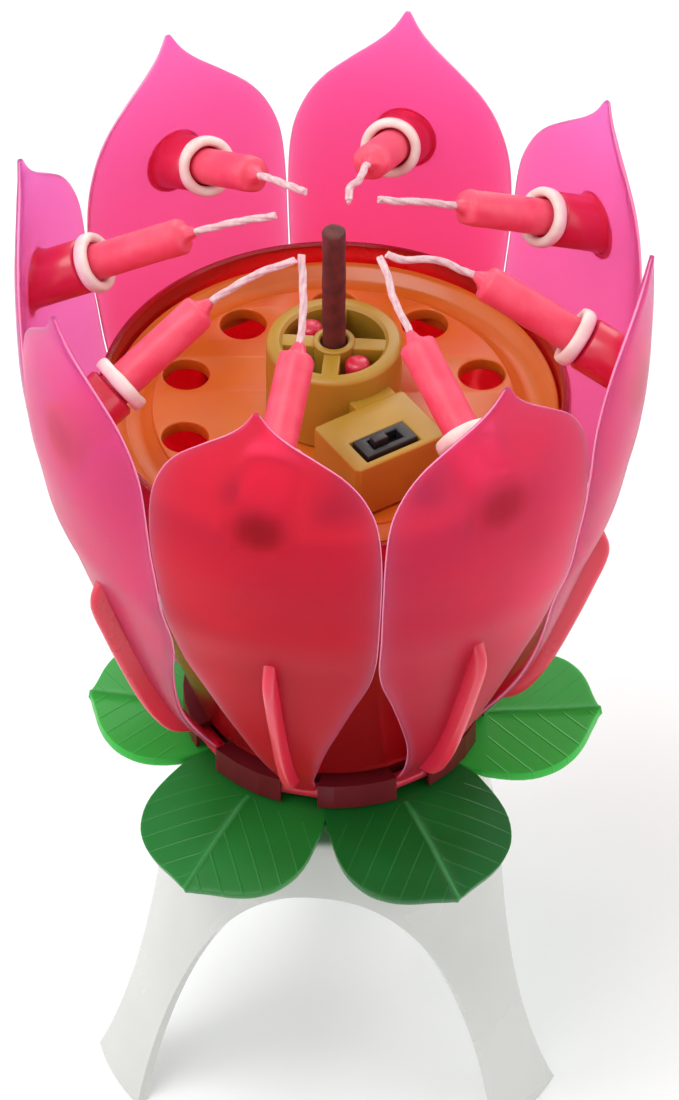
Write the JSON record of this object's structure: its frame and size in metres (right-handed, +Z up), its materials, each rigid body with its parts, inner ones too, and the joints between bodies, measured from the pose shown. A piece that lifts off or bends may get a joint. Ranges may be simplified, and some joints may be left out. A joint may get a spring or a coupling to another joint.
{
  "type": "musical flower birthday candle",
  "caption": "Lotus-shaped birthday candle on a tripod stand: hinged petals each hold a small candle round a bowl with a spark stick, and the flower turns on a geared drive.",
  "frame": {"origin": "on the turning axis, at the height of the feet", "axes": "+Z up along the turning axis; the front, as pictured, faces -Y and +X is to its right"},
  "size_m": [0.0812, 0.0812, 0.1413],
  "materials": {
    "white_plastic": "smooth and shiny",
    "nylon": "as moulded",
    "green_plastic": "satin, with raised veins",
    "red_plastic": "smooth, slightly translucent",
    "petal_plastic": "smooth, translucent, paler towards the tip",
    "yellow_plastic": "smooth",
    "candle_wax": "wax",
    "wick_cotton": "waxed twist",
    "collar_plastic": "soft and milky",
    "spark_compound": "rough",
    "black_plastic": "satin",
    "steel": "bright",
    "brass": "bright",
    "board": "solder-masked laminate",
    "red_wire": "smooth"
  },
  "bodies": {
    "stand": {"stand_tripod": "white_plastic", "fixed_gear": "nylon", "centre_screw": "steel", "thrust_washer": "nylon"},
    "flower": {"calyx_leaves": "green_plastic", "hinge_ring": "red_plastic", "bowl": "red_plastic", "deck": "yellow_plastic", "centre_boss": "yellow_plastic", "peg_front": "red_plastic", "peg_rear": "red_plastic", "spark_stick": "spark_compound", "switch_body": "black_plastic", "motor": "steel", "battery_holder": "black_plastic", "button_cell_1": "steel", "button_cell_2": "steel", "button_cell_3": "steel", "contact_spring": "steel", "contact_strip": "brass", "melody_board": "board", "melody_chip": "black_plastic", "sounder_disc": "brass", "battery_wire": "red_wire", "motor_wire": "black_plastic"},
    "pinion": {"motor_pinion": "brass"},
    "knob": {"switch_knob": "black_plastic"},
    "petal_1": {"petal_1": "petal_plastic", "collar_1": "collar_plastic", "candle_1": "candle_wax", "wick_1": "wick_cotton"},
    "petal_2": {"petal_2": "petal_plastic", "collar_2": "collar_plastic", "candle_2": "candle_wax", "wick_2": "wick_cotton"},
    "petal_3": {"petal_3": "petal_plastic", "collar_3": "collar_plastic", "candle_3": "candle_wax", "wick_3": "wick_cotton"},
    "petal_4": {"petal_4": "petal_plastic", "collar_4": "collar_plastic", "candle_4": "candle_wax", "wick_4": "wick_cotton"},
    "petal_5": {"petal_5": "petal_plastic", "collar_5": "collar_plastic", "candle_5": "candle_wax", "wick_5": "wick_cotton"},
    "petal_6": {"petal_6": "petal_plastic", "collar_6": "collar_plastic", "candle_6": "candle_wax", "wick_6": "wick_cotton"},
    "petal_7": {"petal_7": "petal_plastic", "collar_7": "collar_plastic", "candle_7": "candle_wax", "wick_7": "wick_cotton"},
    "petal_8": {"petal_8": "petal_plastic", "collar_8": "collar_plastic", "candle_8": "candle_wax", "wick_8": "wick_cotton"}
  },
  "joints": [
    {"name": "flower_spin", "type": "hinge", "parent": "stand", "child": "flower", "pos_m": [0, 0, 0.06], "axis": [0, 0, 1], "continuous": true},
    {"name": "pinion_spin", "type": "hinge", "parent": "flower", "child": "pinion", "pos_m": [0.00566, 0.00981, 0.058], "axis": [0, 0, 1], "continuous": true},
    {"name": "switch_slide", "type": "slide", "parent": "flower", "child": "knob", "axis": [0.8387, 0.5446, 0], "range_m": [0, 0.0018]},
    {"name": "petal_1_hinge", "type": "hinge", "parent": "flower", "child": "petal_1", "pos_m": [-0.0042, -0.0175, 0.057], "axis": [0.9724, -0.2334, 0], "range_deg": [0, 42]},
    {"name": "petal_2_hinge", "type": "hinge", "parent": "flower", "child": "petal_2", "pos_m": [0.00941, -0.01535, 0.057], "axis": [0.8526, 0.5225, 0], "range_deg": [0, 42]},
    {"name": "petal_3_hinge", "type": "hinge", "parent": "flower", "child": "petal_3", "pos_m": [0.0175, -0.0042, 0.057], "axis": [0.2334, 0.9724, 0], "range_deg": [0, 42]},
    {"name": "petal_4_hinge", "type": "hinge", "parent": "flower", "child": "petal_4", "pos_m": [0.01535, 0.00941, 0.057], "axis": [-0.5225, 0.8526, 0], "range_deg": [0, 42]},
    {"name": "petal_5_hinge", "type": "hinge", "parent": "flower", "child": "petal_5", "pos_m": [0.0042, 0.0175, 0.057], "axis": [-0.9724, 0.2334, 0], "range_deg": [0, 42]},
    {"name": "petal_6_hinge", "type": "hinge", "parent": "flower", "child": "petal_6", "pos_m": [-0.00941, 0.01535, 0.057], "axis": [-0.8526, -0.5225, 0], "range_deg": [0, 42]},
    {"name": "petal_7_hinge", "type": "hinge", "parent": "flower", "child": "petal_7", "pos_m": [-0.0175, 0.0042, 0.057], "axis": [-0.2334, -0.9724, 0], "range_deg": [0, 42]},
    {"name": "petal_8_hinge", "type": "hinge", "parent": "flower", "child": "petal_8", "pos_m": [-0.01535, -0.00941, 0.057], "axis": [0.5225, -0.8526, 0], "range_deg": [0, 42]}
  ],
  "couplings": [
    {"joint": "pinion_spin", "follows": "flower_spin", "ratio": 3}
  ]
}
